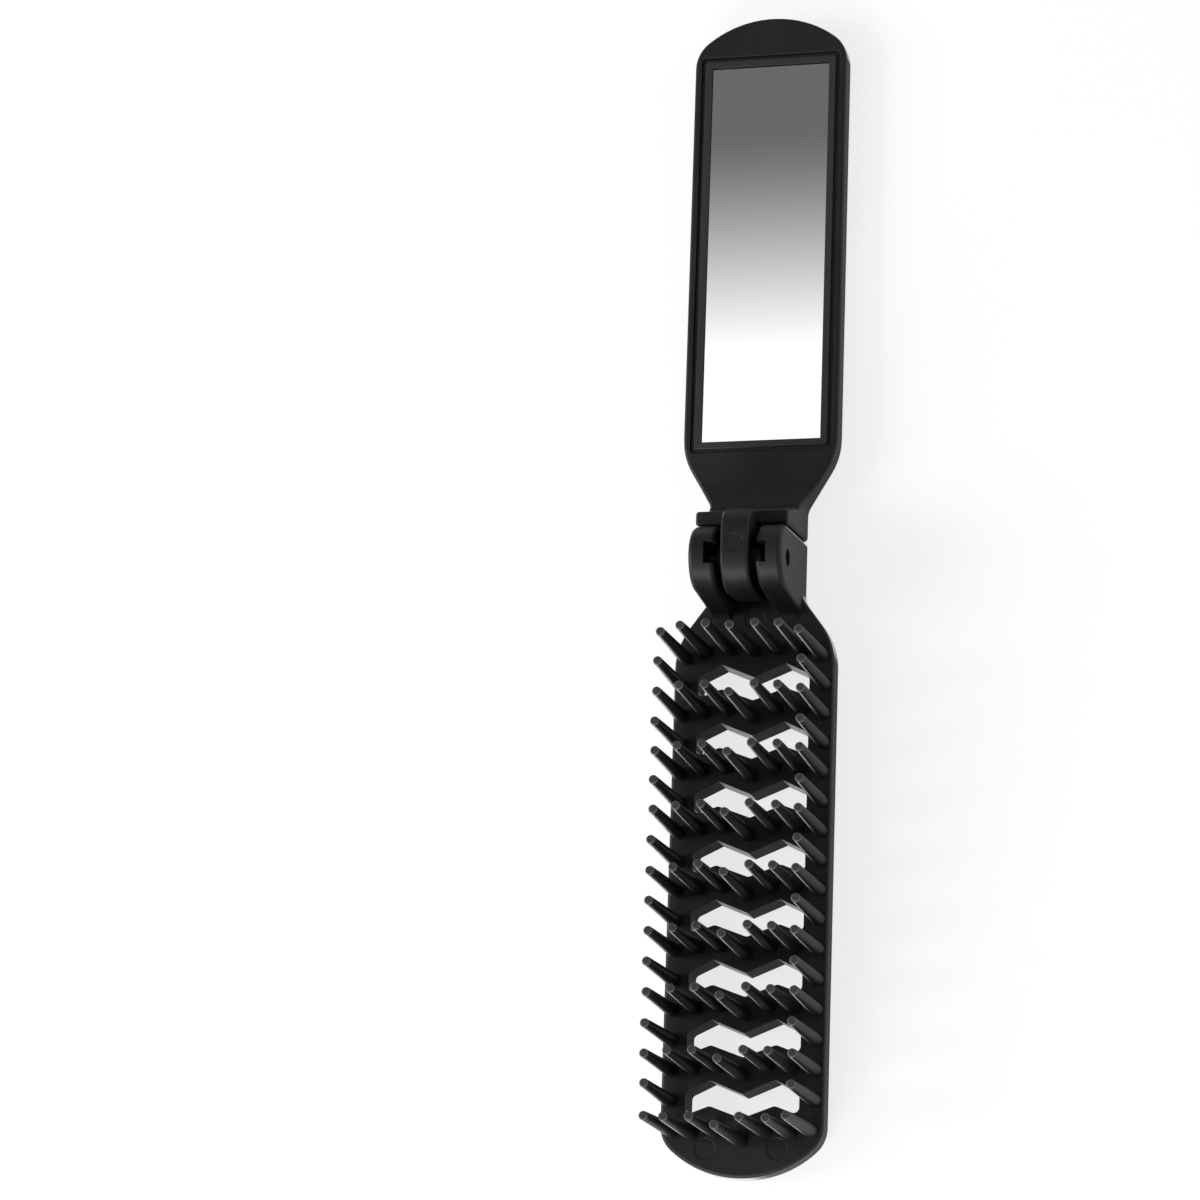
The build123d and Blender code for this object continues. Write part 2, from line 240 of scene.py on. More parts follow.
@dataclass(frozen=True)
class MouldedPlastic:
    """Injection-moulded plastic with the fine grain of a spark-eroded mould."""

    name: str
    colour: tuple[float, float, float]
    roughness: float
    specular: float
    grain: float = 0.18 * MM  # size of the grain
    grain_depth: float = 0.012 * MM
    grain_gloss: float = 0.15  # how much the gloss varies with the grain
    clouding: float = 0.12  # how much colour and gloss vary over the surface
    cloud_size: float = 9 * MM
    dusty: tuple[float, float] = (0.35, 0.75)  # cloud levels between which the colour lightens
    polish: float = 0.0  # clear gloss that shows where a face is seen at a slant
    polish_slant: tuple[float, float] = (0.82, 0.87)  # slants between which it sets in
    polish_roughness: float = 0.2
    painted_highlight: float = 0.0  # paleness of the painted highlight line down one side of each bristle
    painted_highlight_start: float = 7 * MM  # height at which the painted highlight line begins to show
    painted_highlight_full: float = 16 * MM  # and at which it shows in full
    painted_highlight_facing: tuple[float, float] = (0.95, 0.99)  # how squarely a spot on it faces its side
    painted_light_level: float = 0.0  # paleness painted above a height: a painted highlight on the rounding of the bristle tips, and painted shade left below the bezel's front in its channel
    painted_light_above: float = 0.0  # height past which the paleness is painted
    painted_light_fade: float = 0.15 * MM  # height over which the painted paleness sets in
    painted_light_cover: float = 0.7  # how much of the paleness shows
    painted_light_speckle: float = 0.9  # and how much it varies with the grain
    flats: float = 1.0  # height of flat ends that get less of the painted paleness, so that on the bristle tips it paints a highlight ring
    flats_fade: float = 0.04 * MM
    flats_spared: float = 0.7  # how much less of it they get

    def colours(self, sheet: NodeSheet, place: Value, grain: Expr, clouds: Expr) -> Value:
        """Work out the colour over the surface.

        Args:
            sheet: the material's sheet.
            place: object coordinates.
            grain: the fine grain.
            clouds: the slow variation.

        Returns:
            The colour.
        """
        dust = tuple(level * (1 + 2 * self.clouding) for level in self.colour)
        colour = sheet.mix(clouds.rise(*self.dusty), (*self.colour, 1.0), (*dust, 1.0))
        height = sheet.number("ShaderNodeSeparateXYZ", None, {0: place}, 2)
        # painted light: paleness above a height, which paints a highlight ring on the bristle tips
        # and leaves painted shade below the bezel's front
        if self.painted_light_level:
            painted_band = height.rise(self.painted_light_above - self.painted_light_fade, self.painted_light_above)
            spared = self.flats_spared * height.rise(self.flats - self.flats_fade, self.flats)
            speckle = self.painted_light_cover + self.painted_light_speckle * (grain - 0.5)
            painted_light = painted_band * (1 - spared) * speckle
            colour = sheet.mix(painted_light, colour, grey(self.painted_light_level))
        # painted highlight: a pale line down the lower-left side of each bristle stands in for the
        # light caught there
        if self.painted_highlight:
            facing = sheet.number("ShaderNodeAttribute", {"attribute_name": "painted_highlight"}, None, 2)
            line = facing.rise(*self.painted_highlight_facing) * height.rise(self.painted_highlight_start, self.painted_highlight_full)
            colour = sheet.mix(line, colour, grey(self.painted_highlight))
        return colour

    def glaze(self, sheet: NodeSheet, shader: bpy.types.Node) -> bpy.types.NodeSocket:
        """Lay the gloss that shows at a slant over the surface shader.

        Args:
            sheet: the material's sheet.
            shader: the surface shader.

        Returns:
            Both together.
        """
        slant = sheet.number("ShaderNodeLayerWeight", None, {0: 0.5}, 1)
        coat = {"Color": grey(0.9), "Roughness": self.polish_roughness}
        gloss = sheet.node("ShaderNodeBsdfAnisotropic", None, coat)
        share = slant.rise(*self.polish_slant) * self.polish
        layers = {0: share, 1: shader.outputs[0], 2: gloss.outputs[0]}
        return sheet.node("ShaderNodeMixShader", None, layers).outputs[0]

    def build(self) -> bpy.types.Material:
        """Build the material.

        Returns:
            The material.
        """
        material, sheet, shader = new_material(self.name)
        place = sheet.place()
        grain = sheet.noise(place, self.grain, 3.0)
        clouds = sheet.noise(place, self.cloud_size, 4.0)
        sheet.feed(shader.inputs["Base Color"], self.colours(sheet, place, grain, clouds))
        rough = self.roughness * (1 + self.clouding * (clouds - 0.5))
        sheet.feed(shader.inputs["Roughness"], rough + self.grain_gloss * (grain - 0.5))
        shader.inputs["Specular IOR Level"].default_value = self.specular
        relief = {"Strength": 0.6, "Distance": self.grain_depth, "Height": grain}
        bump = sheet.node("ShaderNodeBump", None, relief)
        sheet.feed(shader.inputs["Normal"], bump.outputs[0])
        if self.polish:
            end = shader.outputs[0].links[0].to_node
            sheet.feed(end.inputs["Surface"], self.glaze(sheet, shader))
        return material


@dataclass(frozen=True)
class TurnedSteel:
    """Blackened steel wire with fine drawing lines along the pin."""

    name: str = "pin_steel"
    dark: Colour = grey(0.05)
    pale: Colour = (0.1, 0.098, 0.095, 1.0)
    line_width: float = 0.12 * MM
    line_stretch: float = 10.0  # length of the lines over their width
    roughness: float = 0.42
    roughness_spread: float = 0.2

    def build(self) -> bpy.types.Material:
        """Build the material.

        Returns:
            The material.
        """
        material, sheet, shader = new_material(self.name)
        drawn = {"Vector": sheet.place(), "Scale": (1 / self.line_stretch, 1.0, 1.0)}
        way = sheet.node("ShaderNodeMapping", None, drawn).outputs[0]
        lines = sheet.noise(way, self.line_width)
        shader.inputs["Metallic"].default_value = 1.0
        sheet.feed(shader.inputs["Base Color"], sheet.mix(lines, self.dark, self.pale))
        sheet.feed(shader.inputs["Roughness"], self.roughness + self.roughness_spread * lines)
        return material


@dataclass(frozen=True)
class SilveredFace:
    """The bright face of the mirror."""

    name: str = "mirror_silvered_face"
    colour: Colour = (0.93, 0.935, 0.93, 1.0)
    haze: float = 0.012  # roughness where the face is haziest
    haze_size: float = 14 * MM

    def build(self) -> bpy.types.Material:
        """Build the material.

        Returns:
            The material.
        """
        material, sheet, shader = new_material(self.name)
        clouds = sheet.noise(sheet.place(), self.haze_size, 3.0)
        shader.inputs["Metallic"].default_value = 1.0
        shader.inputs["Base Color"].default_value = self.colour
        sheet.feed(shader.inputs["Roughness"], self.haze * clouds)
        return material


@dataclass(frozen=True)
class BackPaint:
    """The grey paint that seals the back of the mirror."""

    name: str = "mirror_back_paint"
    dark: Colour = grey(0.2)
    pale: Colour = grey(0.26)
    cloud_size: float = 3 * MM
    roughness: float = 0.55

    def build(self) -> bpy.types.Material:
        """Build the material.

        Returns:
            The material.
        """
        material, sheet, shader = new_material(self.name)
        clouds = sheet.noise(sheet.place(), self.cloud_size, 3.0)
        sheet.feed(shader.inputs["Base Color"], sheet.mix(clouds, self.dark, self.pale))
        shader.inputs["Roughness"].default_value = self.roughness
        return material


@dataclass(frozen=True)
class GroundEdge:
    """The ground and sealed edges of the glass."""

    name: str = "mirror_ground_edge"
    dark: Colour = grey(0.002)
    pale: Colour = (0.006, 0.008, 0.007, 1.0)
    chip_size: float = 0.2 * MM
    roughness: float = 0.7
    roughness_spread: float = 0.2
    specular: float = 0.12

    def build(self) -> bpy.types.Material:
        """Build the material.

        Returns:
            The material.
        """
        material, sheet, shader = new_material(self.name)
        chips = sheet.noise(sheet.place(), self.chip_size, 3.0)
        sheet.feed(shader.inputs["Base Color"], sheet.mix(chips, self.dark, self.pale))
        sheet.feed(shader.inputs["Roughness"], self.roughness + self.roughness_spread * chips)
        shader.inputs["Specular IOR Level"].default_value = self.specular
        return material


@dataclass(frozen=True)
class FoamTape:
    """Closed-cell foam tape, which holds the glass."""

    name: str = "foam_tape"
    dark: Colour = grey(0.5)
    pale: Colour = grey(0.72)
    cell_size: float = 0.25 * MM
    cell_depth: float = 0.05 * MM
    roughness: float = 0.85

    def build(self) -> bpy.types.Material:
        """Build the material.

        Returns:
            The material.
        """
        material, sheet, shader = new_material(self.name)
        cells = {"Vector": sheet.place(), "Scale": 1 / self.cell_size}
        depth = sheet.number("ShaderNodeTexVoronoi", None, cells)
        sheet.feed(shader.inputs["Base Color"], sheet.mix(depth, self.dark, self.pale))
        shader.inputs["Roughness"].default_value = self.roughness
        relief = {"Strength": 0.5, "Distance": self.cell_depth, "Height": depth}
        bump = sheet.node("ShaderNodeBump", None, relief)
        sheet.feed(shader.inputs["Normal"], bump.outputs[0])
        return material


SHELL_FINISH = MouldedPlastic(
    name="shell_plastic",
    colour=(0.011, 0.011, 0.0112),
    roughness=0.47,
    specular=0.2,
    polish=0.9,
)
BEZEL_FINISH = MouldedPlastic(
    name="bezel_plastic",
    colour=(0.011, 0.011, 0.0112),
    roughness=0.46,
    specular=0.25,
    # painted shade: paler above the front level, so the bezel's foot down in the channel stays
    # darker
    painted_light_level=0.028,
    painted_light_above=5.35 * MM,
)
BRISTLE_FINISH = MouldedPlastic(
    name="bristle_plastic",
    colour=(0.01, 0.01, 0.0102),
    roughness=0.42,
    specular=0.1,
    grain=0.25 * MM,
    grain_depth=0.008 * MM,
    # painted highlight: a pale line down one side of each bristle and a pale ring on the rounding
    # of the tips
    painted_highlight=0.3,
    painted_light_level=0.12,
    painted_light_above=24.05 * MM,
    flats=24.24 * MM,
)


# ---------------------------------------------------------------- meshes


@dataclass(frozen=True)
class EdgeSoftening:
    """How the sharp edges of a moulding are broken."""

    width: float = 0.08 * MM
    segments: int = 2
    crease: float = math.radians(40)  # from this angle on an edge is shaded as sharp
    angle: float = math.radians(50)  # and from this one on it is broken
    low_step: float = 0.2 * MM  # the edges of steps lower than this are broken less
    low_share: float = 0.85  # share of the width there
    inner_share: float = 0.3  # and in inner corners
    upright: float = 0.1  # a wall's normal rises less than this
    spared: tuple[Vector, ...] = ()  # spots round which the edges stay as they are
    spared_radius: float = 1.0 * MM

    def weight(self, edge: bmesh.types.BMEdge) -> float:
        """Share of the width at an edge.

        Args:
            edge: an edge of the piece.

        Returns:
            0 where the edge is not sharp, is spared or lies underneath, less than 1 in inner
            corners and along low steps, and 1 elsewhere.
        """
        if edge.calc_face_angle(0.0) < self.angle:
            return 0.0
        if max(vertex.co.z for vertex in edge.verts) < self.low_step:
            return 0.0
        place = edge.verts[0].co.xy
        if any((place - spot.xy).length < self.spared_radius for spot in self.spared):
            return 0.0
        if not edge.is_convex:
            return self.inner_share
        for face in edge.link_faces:
            levels = [vertex.co.z for vertex in face.verts]
            if abs(face.normal.z) < self.upright and max(levels) - min(levels) < self.low_step:
                return self.low_share
        return 1.0


def unfold(mesh: bpy.types.Mesh) -> None:
    """Join the slivers that lie folded back over a neighbour with that neighbour.

    Args:
        mesh: a mesh whose edges were broken.
    """
    fold = math.radians(120)
    passes = 5  # a joined face can uncover another fold
    work = bmesh.new()
    work.from_mesh(mesh)
    for _ in range(passes):
        work.normal_update()
        folds = [edge for edge in work.edges if edge.calc_face_angle(0.0) > fold]
        bmesh.ops.dissolve_edges(work, edges=folds, use_verts=False)
    work.to_mesh(mesh)
    work.free()


def moulding(node: str, name: str, soft: EdgeSoftening) -> bpy.types.Object:
    """Make a smooth-shaded moulding with broken edges in the shape of a frame node.

    Args:
        node: the frame's node, which the moulding stands for.
        name: the piece's name.
        soft: how its sharp edges are broken.

    Returns:
        The piece, linked to the scene.
    """
    same_point = 0.001 * MM
    same_plane = math.radians(0.05)
    flat_share = 60  # over 50, large faces rule the shading of their edges
    mesh = bpy.data.meshes.new(name)
    work = bmesh.new()
    work.from_mesh(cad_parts[node].data)
    bmesh.ops.remove_doubles(work, verts=work.verts, dist=same_point)
    for face in work.faces:
        face.smooth = True
    level = [edge for edge in work.edges if edge.calc_face_angle(1.0) < same_plane]
    bmesh.ops.beautify_fill(work, faces=work.faces[:], edges=level)
    weights = work.edges.layers.float.new("bevel_weight_edge")
    for edge in work.edges:
        edge[weights] = soft.weight(edge)
        edge.smooth = edge.calc_face_angle(0.0) < soft.crease
    work.to_mesh(mesh)
    work.free()
    piece = bpy.data.objects.new(name, mesh)
    bpy.context.scene.collection.objects.link(piece)
    bevel = piece.modifiers.new("broken_edges", "BEVEL")
    bevel.limit_method = "WEIGHT"
    bevel.width = soft.width
    bevel.segments = soft.segments
    bevel.use_clamp_overlap = False
    bevel.miter_outer = "MITER_ARC"
    shown = piece.evaluated_get(bpy.context.evaluated_depsgraph_get())
    piece.data = bpy.data.meshes.new_from_object(shown)
    piece.modifiers.remove(bevel)
    unfold(piece.data)
    normals = piece.modifiers.new("flat_faces", "WEIGHTED_NORMAL")
    normals.keep_sharp = True
    normals.weight = flat_share
    return piece


def settle(
    piece: bpy.types.Object,
    body: Body,
    materials: Iterable[bpy.types.Material],
    replaced: Iterable[str],
) -> bpy.types.Object:
    """Dress a piece and join it to its body.

    Args:
        piece: the piece, in place.
        body: the body that it rides on.
        materials: its materials, of which its faces take the first.
        replaced: the frame nodes that it stands for.

    Returns:
        The piece.
    """
    piece.data.materials.clear()
    for material in materials:
        piece.data.materials.append(material)
    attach(piece, body.value)
    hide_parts(*replaced)
    log.info("%s on %s", piece.name, body.value)
    return piece


# ---------------------------------------------------------------- brush half


@dataclass
class BristleBed:
    """The tapered bristles, which stand in rows of seven with two more between the rows."""

    rows: int = 9
    first_row: float = 13.9 * MM  # hinge axis to the first row
    edge_pitch: float = 10.0 * MM
    inner_pitch: float = 10.07 * MM
    columns: tuple[float, float] = (4.15 * MM, 8.3 * MM)
    leads: tuple[float, float] = (1.1 * MM, 0.85 * MM)  # how far they stand toward the hinge
    edge_column: float = 12.14 * MM
    centre_lead: float = -0.3 * MM
    first_centre_lead: float = 0.8 * MM
    end_row_inset: float = 0.45 * MM
    first_row_lead: float = 0.25 * MM
    last_row_lag: float = 0.7 * MM
    slab: float = 5.4 * MM  # height of the plate that they stand on
    height: float = 18.85 * MM
    peg_depth: float = 2.6 * MM
    peg_radius: float = 0.9 * MM
    root_radius: float = 1.16 * MM
    tip_radius: float = 0.76 * MM
    tip_round: float = 0.3 * MM
    root_flare: float = 0.16 * MM
    flare_height: float = 0.22 * MM
    sides: int = 32
    rings: int = 30
    shaft_share: float = 0.7  # share of the rings below the rounding of the tip
    foot_crowding: float = 1.6  # how much they crowd toward the foot
    painted_highlight_bearing: float = math.radians(-110)  # side on which the painted highlight line runs, toward the lower left where the light comes from
    lean_spread: float = 0.14 * MM
    first_row_lean: float = -0.1 * MM  # the end rows lean to one side too
    last_row_lean: float = -0.3 * MM
    lean_power: float = 1.3  # how much of the lean lies near the tip
    seed: int = 7

    def feet(self) -> list[tuple[Vector, Vector]]:
        """Place the bristles.

        Returns:
            The foot and the lean of each, the lean being how far its tip stands off its foot.
        """
        draw = random.Random(self.seed)
        found = []

        def spread() -> float:
            """Draw a small offset."""
            return draw.uniform(-self.lean_spread, self.lean_spread)

        for row in range(self.rows):
            is_first, is_last = row == 0, row == self.rows - 1
            shift = self.first_row_lead * is_first - self.last_row_lag * is_last
            middle = self.first_centre_lead if is_first else self.centre_lead
            inner_y = -self.first_row - row * self.inner_pitch + shift
            edge_y = -self.first_row - row * self.edge_pitch
            inset = self.end_row_inset * (is_first or is_last)
            aside = self.first_row_lean * is_first + self.last_row_lean * is_last
            places = [(0.0, inner_y + middle)]
            for column, lead in zip(self.columns, self.leads):
                places += [(side * column, inner_y + lead) for side in (1, -1)]
            places += [(side * (self.edge_column - inset), edge_y) for side in (1, -1)]
            for x, y in places:
                lean = Vector((spread() + aside, spread(), 0.0))
                found.append((Vector((x, y, self.slab)), lean))
            if not is_last:
                for side in (1, -1):
                    foot = (side * self.edge_column, edge_y - self.edge_pitch / 2, self.slab)
                    found.append((Vector(foot), Vector((spread(), spread(), 0.0))))
        return found

    def sockets(self, tree: bpy.types.NodeTree) -> None:
        """Give a tree its geometry sockets and an input for each size of a bristle.

        Args:
            tree: the new tree.
        """
        face = tree.interface
        for way in ("INPUT", "OUTPUT"):
            face.new_socket("Geometry", in_out=way, socket_type="NodeSocketGeometry")
        for name, value in (
            ("Height", self.height),
            ("Peg Depth", self.peg_depth),
            ("Peg Radius", self.peg_radius),
            ("Root Radius", self.root_radius),
            ("Tip Radius", self.tip_radius),
            ("Tip Round", self.tip_round),
            ("Root Flare", self.root_flare),
        ):
            socket = face.new_socket(name, in_out="INPUT", socket_type="NodeSocketFloat")
            socket.default_value = value
        for name, count in (("Sides", self.sides), ("Rings", self.rings)):
            socket = face.new_socket(name, in_out="INPUT", socket_type="NodeSocketInt")
            socket.default_value = count

    def bristle(self, sheet: NodeSheet, size: dict[str, Expr]) -> bpy.types.NodeSocket:
        """Turn one bristle about its axis.

        Args:
            sheet: the tree's sheet.
            size: the tree's inputs by name.

        Returns:
            The bristle's mesh, which stands on the origin with its peg below.
        """
        ends = {"Start": (0.0, 0.0, 0.0), "End": (0.0, 0.0, self.height)}
        line = sheet.node("GeometryNodeCurvePrimitiveLine", None, ends)
        steps = {"Curve": line.outputs[0], "Count": size["Rings"]}
        points = sheet.node("GeometryNodeResampleCurve", None, steps)

        # the points crowd round the foot and the tip, and each has its height and its radius
        index = sheet.number("GeometryNodeSplineParameter", output="Index")
        along = index / (size["Rings"] - 1)
        shaft = sheet.math("MINIMUM", along / self.shaft_share, 1.0)
        past = (along - self.shaft_share) / (1 - self.shaft_share)
        turn = sheet.math("MAXIMUM", past, 0.0) * (math.pi / 2)
        shaft_top = size["Height"] - size["Tip Round"]
        z = (
            shaft ** self.foot_crowding * (shaft_top + size["Peg Depth"])
            - size["Peg Depth"]
            + size["Tip Round"] * sheet.math("SINE", turn)
        )
        slimming = size["Tip Radius"] - size["Root Radius"]
        taper = size["Root Radius"] + slimming * (z / size["Height"])
        flare = size["Root Flare"] * sheet.math("EXPONENT", z / -self.flare_height)
        rounding = size["Tip Round"] * (1 - sheet.math("COSINE", turn))
        above = z > 0.0
        radius = above * (taper + flare - rounding) + (1 - above) * size["Peg Radius"]

        spot = sheet.node("ShaderNodeCombineXYZ", None, {"Z": z}).outputs[0]
        moved = {"Geometry": points.outputs[0], "Position": spot}
        stem = sheet.node("GeometryNodeSetPosition", None, moved)
        circle = {"Resolution": size["Sides"], "Radius": 1.0}
        ring = sheet.node("GeometryNodeCurvePrimitiveCircle", None, circle)
        sweep = {
            "Curve": stem.outputs[0],
            "Profile Curve": ring.outputs[0],
            "Scale": radius,
            "Fill Caps": True,
        }
        return sheet.node("GeometryNodeCurveToMesh", None, sweep).outputs[0]

    def leant(
        self, sheet: NodeSheet, standing: bpy.types.NodeSocket, height: Expr
    ) -> bpy.types.NodeSocket:
        """Mark the side that takes the painted highlight line on the bristles, and then lean them.

        Args:
            sheet: the tree's sheet.
            standing: the upright bristles, whose points carry their lean.
            height: height of a bristle.

        Returns:
            The leaning bristles.
        """
        outward = sheet.node("GeometryNodeInputNormal").outputs[0]
        side = (math.cos(self.painted_highlight_bearing), math.sin(self.painted_highlight_bearing), 0.0)
        facing = sheet.node(
            "ShaderNodeVectorMath", {"operation": "DOT_PRODUCT"}, {0: outward, 1: side}
        )
        marked = sheet.node(
            "GeometryNodeStoreNamedAttribute",
            {"data_type": "FLOAT", "domain": "POINT"},
            {"Geometry": standing, "Name": "painted_highlight", "Value": facing.outputs["Value"]},
        )
        spot = sheet.node("GeometryNodeInputPosition").outputs[0]
        level = sheet.number("ShaderNodeSeparateXYZ", None, {0: spot}, 2)
        share = sheet.math("MAXIMUM", (level - self.slab) / height, 0.0)
        lean = sheet.node(
            "GeometryNodeInputNamedAttribute", {"data_type": "FLOAT_VECTOR"}, {"Name": "lean"}
        )
        shift = sheet.node(
            "ShaderNodeVectorMath",
            {"operation": "SCALE"},
            {0: lean.outputs[0], "Scale": share ** self.lean_power},
        )
        moved = {"Geometry": marked.outputs[0], "Offset": shift.outputs[0]}
        return sheet.node("GeometryNodeSetPosition", None, moved).outputs[0]

    def tree(self, material: bpy.types.Material) -> bpy.types.NodeTree:
        """Build the geometry tree that stands a bristle on each point and leans it.

        Args:
            material: the bristles' finish.

        Returns:
            The tree, with named inputs for the bristle's sizes.
        """
        tree = bpy.data.node_groups.new("bristle_bed", "GeometryNodeTree")
        self.sockets(tree)
        sheet = NodeSheet(tree)
        given = sheet.node("NodeGroupInput")
        size = {output.name: Expr(sheet, output) for output in given.outputs if output.name}
        rows = {"Points": given.outputs[0], "Instance": self.bristle(sheet, size)}
        stand = sheet.node("GeometryNodeInstanceOnPoints", None, rows)
        real = sheet.node("GeometryNodeRealizeInstances", None, {"Geometry": stand.outputs[0]})
        leant = self.leant(sheet, real.outputs[0], size["Height"])
        smooth = sheet.node("GeometryNodeSetShadeSmooth", None, {"Geometry": leant})
        finish = {"Geometry": smooth.outputs[0], "Material": material}
        dressed = sheet.node("GeometryNodeSetMaterial", None, finish)
        sheet.node("NodeGroupOutput", None, {0: dressed.outputs[0]})
        return tree

    def build(self, material: bpy.types.Material) -> bpy.types.Object:
        """Grow the bristles and keep them as one plain mesh.

        Args:
            material: the bristles' finish.

        Returns:
            The piece, linked to the scene.
        """
        stands = self.feet()
        seed_mesh = bpy.data.meshes.new("bristle_feet")
        seed_mesh.from_pydata([foot for foot, _ in stands], [], [])
        leans = seed_mesh.attributes.new("lean", "FLOAT_VECTOR", "POINT")
        leans.data.foreach_set("vector", [part for _, lean in stands for part in lean])
        seed = bpy.data.objects.new("bristle_feet", seed_mesh)
        bpy.context.scene.collection.objects.link(seed)
        grown = seed.modifiers.new("bed", "NODES")
        grown.node_group = self.tree(material)
        shown = seed.evaluated_get(bpy.context.evaluated_depsgraph_get())
        mesh = bpy.data.meshes.new_from_object(shown)
        mesh.name = "bristles"
        bpy.data.objects.remove(seed)
        piece = bpy.data.objects.new("bristles", mesh)
        bpy.context.scene.collection.objects.link(piece)
        return piece


@dataclass
class BrushHalf:
    """The half with the bristles: a moulded frame with two ears, the bristles and the hinge pin."""

    bed: BristleBed
    shell: bpy.types.Material  # finish of the frame
    pin_edges: EdgeSoftening
    slot_corner: tuple[float, float] = (4.12 * MM, 1.92 * MM)  # of the hinge slots, from the axes

    def frame_edges(self) -> EdgeSoftening:
        """Spare the frame's edges where a bristle covers them or a slot crowds them.

        Returns:
            How the frame's edges are broken.
        """
        x, y = self.slot_corner
        corners = [Vector((i * x, j * y, 0.0)) for i in (1, -1) for j in (1, -1)]
        return EdgeSoftening(spared=(*corners, *(foot for foot, _ in self.bed.feet())))

    def build(self) -> None:
        """Build and dress the half."""
        settle(
            moulding("brush_frame", "brush_frame_moulding", self.frame_edges()),
            Body.BRUSH,
            [self.shell],
            ["brush_frame"],
        )
        rows = sorted(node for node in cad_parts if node.startswith("bristle_"))
        finish = BRISTLE_FINISH.build()
        settle(self.bed.build(finish), Body.BRUSH, [finish], rows)
        settle(
            moulding("hinge_pin", "hinge_pin_steel", self.pin_edges),
            Body.BRUSH,
            [TurnedSteel().build()],
            ["hinge_pin"],
        )


# ---------------------------------------------------------------- mirror half


@dataclass
class MirrorHalf:
    """The half with the mirror: a moulded shell, the bezel, the mirror plate and its tape."""

    shell: bpy.types.Material  # finish of the shell
    bezel_edges: EdgeSoftening
    edges: EdgeSoftening = EdgeSoftening()  # of the other pieces
    coat: float = 0.03 * MM  # the plate's back stands this far off the tape
    flat: float = 0.99  # the normals of its front and back rise or fall more than this

    def plate(self) -> bpy.types.Object:
        """Make the mirror plate.

        Returns:
            The plate, with its back off the tape.
        """
        piece = moulding("mirror_glass", "mirror_plate", self.edges)
        levels = [vertex.co.z for vertex in piece.data.vertices]
        middle = (min(levels) + max(levels)) / 2
        for vertex in piece.data.vertices:
            if vertex.co.z < middle:
                vertex.co.z += self.coat
        return piece

    def share_out(self, plate: bpy.types.Object) -> None:
        """Give the plate's front, back and edges a material each.

        Args:
            plate: the plate, with its three materials.
        """
        for face in plate.data.polygons:
            if face.normal.z > self.flat:
                face.material_index = 0
            elif face.normal.z < -self.flat:
                face.material_index = 1
            else:
                face.material_index = 2

    def build(self) -> None:
        """Build and dress the half."""
        settle(
            moulding("mirror_shell", "mirror_shell_moulding", self.edges),
            Body.MIRROR,
            [self.shell],
            ["mirror_shell"],
        )
        settle(
            moulding("mirror_bezel", "mirror_bezel_moulding", self.bezel_edges),
            Body.MIRROR,
            [BEZEL_FINISH.build()],
            ["mirror_bezel"],
        )
        finishes = [SilveredFace().build(), BackPaint().build(), GroundEdge().build()]
        plate = settle(self.plate(), Body.MIRROR, finishes, ["mirror_glass"])
        self.share_out(plate)
        settle(
            moulding("mirror_tape", "mirror_tape_foam", self.edges),
            Body.MIRROR,
            [FoamTape().build()],
            ["mirror_tape"],
        )


# ---------------------------------------------------------------- studio


@dataclass(frozen=True)
class SoftBox:
    """A rectangular area lamp that looks at a point of the brush."""

    name: str
    direction: tuple[float, float, float]
    distance: float
    width: float
    height: float
    power: float
    target: tuple[float, float, float] = (0.0, 0.0, 0.01)

    def build(self) -> None:
        """Hang the lamp."""
        lamp = bpy.data.lights.new(self.name, "AREA")
        lamp.shape = "RECTANGLE"
        lamp.size = self.width
        lamp.size_y = self.height
        lamp.energy = self.power
        holder = bpy.data.objects.new(self.name, lamp)
        toward = Vector(self.direction).normalized()
        holder.location = Vector(self.target) + toward * self.distance
        holder.rotation_euler = toward.to_track_quat("Z", "Y").to_euler()
        bpy.context.scene.collection.objects.link(holder)


LAMPS = (
    SoftBox(
        name="front_box",
        direction=(-0.35, -0.85, 0.4),
        distance=0.9,
        width=0.5,
        height=0.5,
        power=7.5,
    ),
    SoftBox(
        name="left_box",
        direction=(-0.86, -0.1, 0.5),
        distance=1.1,
        width=0.5,
        height=0.5,
        power=10.0,
    ),
    SoftBox(
        name="right_strip",
        direction=(0.93, 0.2, 0.2),
        distance=0.9,
        width=0.9,
        height=0.16,
        power=2.2,
    ),
)


@dataclass(frozen=True)
class Panel:
    """A white panel overhead, whose sides are told by the slopes y / z and x / z toward them."""

    near: tuple[float, float] = (0.2, 0.28)  # slopes y / z between which it begins
    far: float = 0.335  # slope y / z at which it starts to fade
    fading: float = 0.057  # and over which it fades
    fade_power: float = 1.6
    left: tuple[float, float] = (-0.4, -0.3)  # slopes x / z between which it begins
    right: tuple[float, float] = (-0.15, -0.03)  # and between which it ends
    white: float = 0.95  # brightness that it adds
    round_it: float = 0.15  # brightness round it
    least_rise: float = 0.05  # keeps the slopes of low directions finite

    def level(self, sheet: NodeSheet, x: Expr, y: Expr, z: Expr) -> Expr:
        """Work out the brightness in a direction.

        Args:
            sheet: the world's sheet.
            x: part of the direction across the brush.
            y: part along it.
            z: part upward.

        Returns:
            The brightness of the panel and of what is round it.
        """
        rise = sheet.math("MAXIMUM", z, self.least_rise)
        along = y / rise
        across = x / rise
        past = sheet.math("MINIMUM", (along - self.far) / self.fading, 1.0)
        fade = (1 - sheet.math("MAXIMUM", past, 0.0)) ** self.fade_power
        cut = along.rise(*self.near) * across.rise(*self.left) * (1 - across.rise(*self.right))
        return self.round_it + self.white * fade * cut


